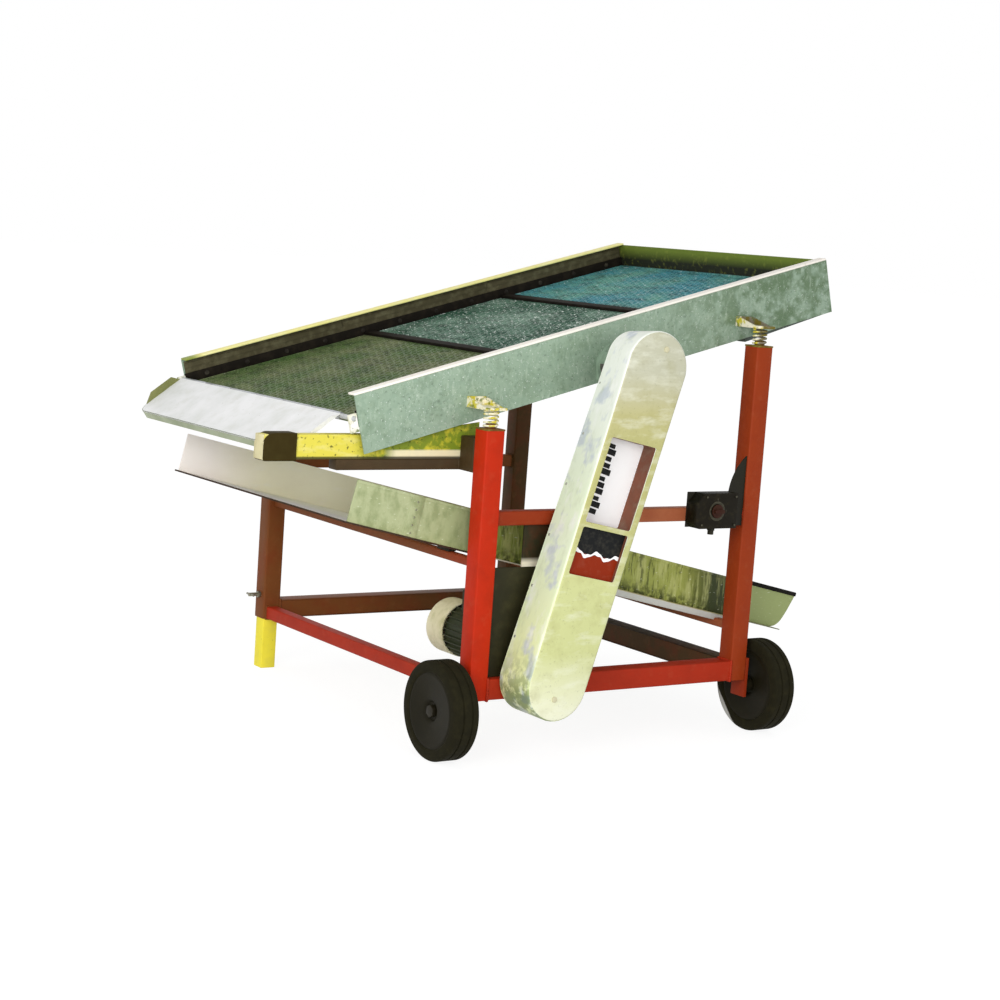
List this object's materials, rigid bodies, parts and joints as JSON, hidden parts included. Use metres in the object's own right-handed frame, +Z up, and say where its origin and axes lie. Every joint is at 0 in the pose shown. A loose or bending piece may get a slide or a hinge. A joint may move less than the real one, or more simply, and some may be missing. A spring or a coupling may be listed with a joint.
{
  "type": "sluice box",
  "caption": "Wheeled wash screen: sloping three-panel tray on coil springs, belt-driven unbalance shaft behind a leaning guard, chute underneath, box-section frame",
  "frame": {"origin": "on the ground under the middle of the bounding box", "axes": "+X from the discharge end to the feed end, +Y from the drive side to the far side, +Z up"},
  "size_m": [1.9406, 1.422, 1.443],
  "materials": {
    "frame_paint": "semi-gloss red paint, weathered",
    "yellow_paint": "worn yellow paint",
    "dark_paint": "dark olive paint",
    "grip_rubber": "black rubber",
    "guard_paint": "pale olive paint, dusty",
    "shield_paint": "white panel with a black and a red band",
    "zinc": "zinc plated",
    "galvanised": "galvanised, spangled",
    "motor_paint": "dark green enamel",
    "cowl_paint": "cream enamel",
    "dark_plastic": "moulded, matt",
    "knob_plastic": "moulded, red",
    "belt_rubber": "belt rubber",
    "spring_steel": "oiled spring steel",
    "tyre_rubber": "solid rubber",
    "wheel_paint": "dark olive paint",
    "machined_steel": "turned",
    "cast_iron": "as cast",
    "rim_paint": "cream paint",
    "screen_wire": "woven wire",
    "apron_paint": "off-white paint"
  },
  "bodies": {
    "frame": {"post_near_low": "frame_paint", "post_near_high": "frame_paint", "far_posts": "frame_paint", "bottom_rails": "frame_paint", "mid_rails": "frame_paint", "spring_seats": "yellow_paint", "motor_plate": "dark_paint", "handle_arm": "frame_paint", "handle_bar": "yellow_paint", "handle_grip": "grip_rubber", "guard_back": "guard_paint", "guard_shell": "guard_paint", "guard_front": "guard_paint", "inner_shield": "shield_paint", "guard_fixings": "zinc", "chute_floor": "galvanised", "chute_wall_near": "galvanised", "chute_wall_far": "galvanised", "chute_edge_strip": "grip_rubber", "chute_packers": "dark_paint", "motor_body": "motor_paint", "motor_cowl": "cowl_paint", "terminal_box": "motor_paint", "switch_bracket": "dark_paint", "switch_box": "dark_plastic", "switch_cover": "dark_plastic", "cable_glands": "dark_plastic", "stub_axles": "zinc", "foot_clamps": "zinc", "drive_belt": "belt_rubber", "springs_low": "spring_steel", "springs_high": "spring_steel"},
    "knob": {"switch_knob": "knob_plastic"},
    "wheel_low_end": {"tyre_low": "tyre_rubber", "wheel_low": "wheel_paint"},
    "wheel_high_end": {"tyre_high": "tyre_rubber", "wheel_high": "wheel_paint"},
    "foot_low_end": {"foot_low": "yellow_paint"},
    "foot_high_end": {"foot_high": "yellow_paint"},
    "motor_rotor": {"motor_shaft_and_fan": "machined_steel", "motor_pulley": "cast_iron"},
    "deck": {"side_plate_near": "galvanised", "side_plate_far": "galvanised", "end_plate": "galvanised", "rim_strips": "rim_paint", "support_frame": "dark_paint", "screen_low": "screen_wire", "screen_mid": "screen_wire", "screen_high": "screen_wire", "hold_down_bars": "grip_rubber", "hinge_lugs": "yellow_paint", "hinge_rod": "machined_steel", "spring_brackets": "yellow_paint", "bearing_housings": "cast_iron", "deck_bolts": "zinc"},
    "eccentric": {"eccentric_shaft": "machined_steel", "unbalance_weights": "cast_iron", "shaft_pulley": "cast_iron"},
    "apron_sheet": {"apron": "apron_paint"}
  },
  "joints": [
    {"name": "deck_bounce", "type": "slide", "parent": "frame", "child": "deck", "axis": [0, 0, 1], "range_m": [-0.006, 0.006], "stiffness_N_per_m": 400000, "springref_m": 0.00484, "deforming": ["springs_low", "springs_high", "drive_belt"]},
    {"name": "shaft_spin", "type": "hinge", "parent": "deck", "child": "eccentric", "pos_m": [0.10848, 0.075, 1.10467], "axis": [0, 1, 0], "continuous": true},
    {"name": "motor_spin", "type": "hinge", "parent": "frame", "child": "motor_rotor", "pos_m": [-0.1415, -0.531, 0.28703], "axis": [0, 1, 0], "continuous": true},
    {"name": "apron_fold", "type": "hinge", "parent": "deck", "child": "apron_sheet", "pos_m": [-0.70979, 0.075, 0.93614], "axis": [0, 1, 0], "range_deg": [0, 85]},
    {"name": "switch_turn", "type": "hinge", "parent": "frame", "child": "knob", "pos_m": [0.44972, -0.6, 0.689], "axis": [0, 1, 0], "range_deg": [0, 90]},
    {"name": "wheel_low_spin", "type": "hinge", "parent": "frame", "child": "wheel_low_end", "pos_m": [-0.42428, -0.531, 0.14], "axis": [1, 0, 0], "continuous": true},
    {"name": "wheel_high_spin", "type": "hinge", "parent": "frame", "child": "wheel_high_end", "pos_m": [0.71772, -0.531, 0.14], "axis": [1, 0, 0], "continuous": true},
    {"name": "foot_low_slide", "type": "slide", "parent": "frame", "child": "foot_low_end", "axis": [0, 0, -1], "range_m": [0, 0.12]},
    {"name": "foot_high_slide", "type": "slide", "parent": "frame", "child": "foot_high_end", "axis": [0, 0, -1], "range_m": [0, 0.12]}
  ],
  "couplings": [
    {"joint": "motor_spin", "follows": "shaft_spin", "ratio": 1.5195}
  ]
}
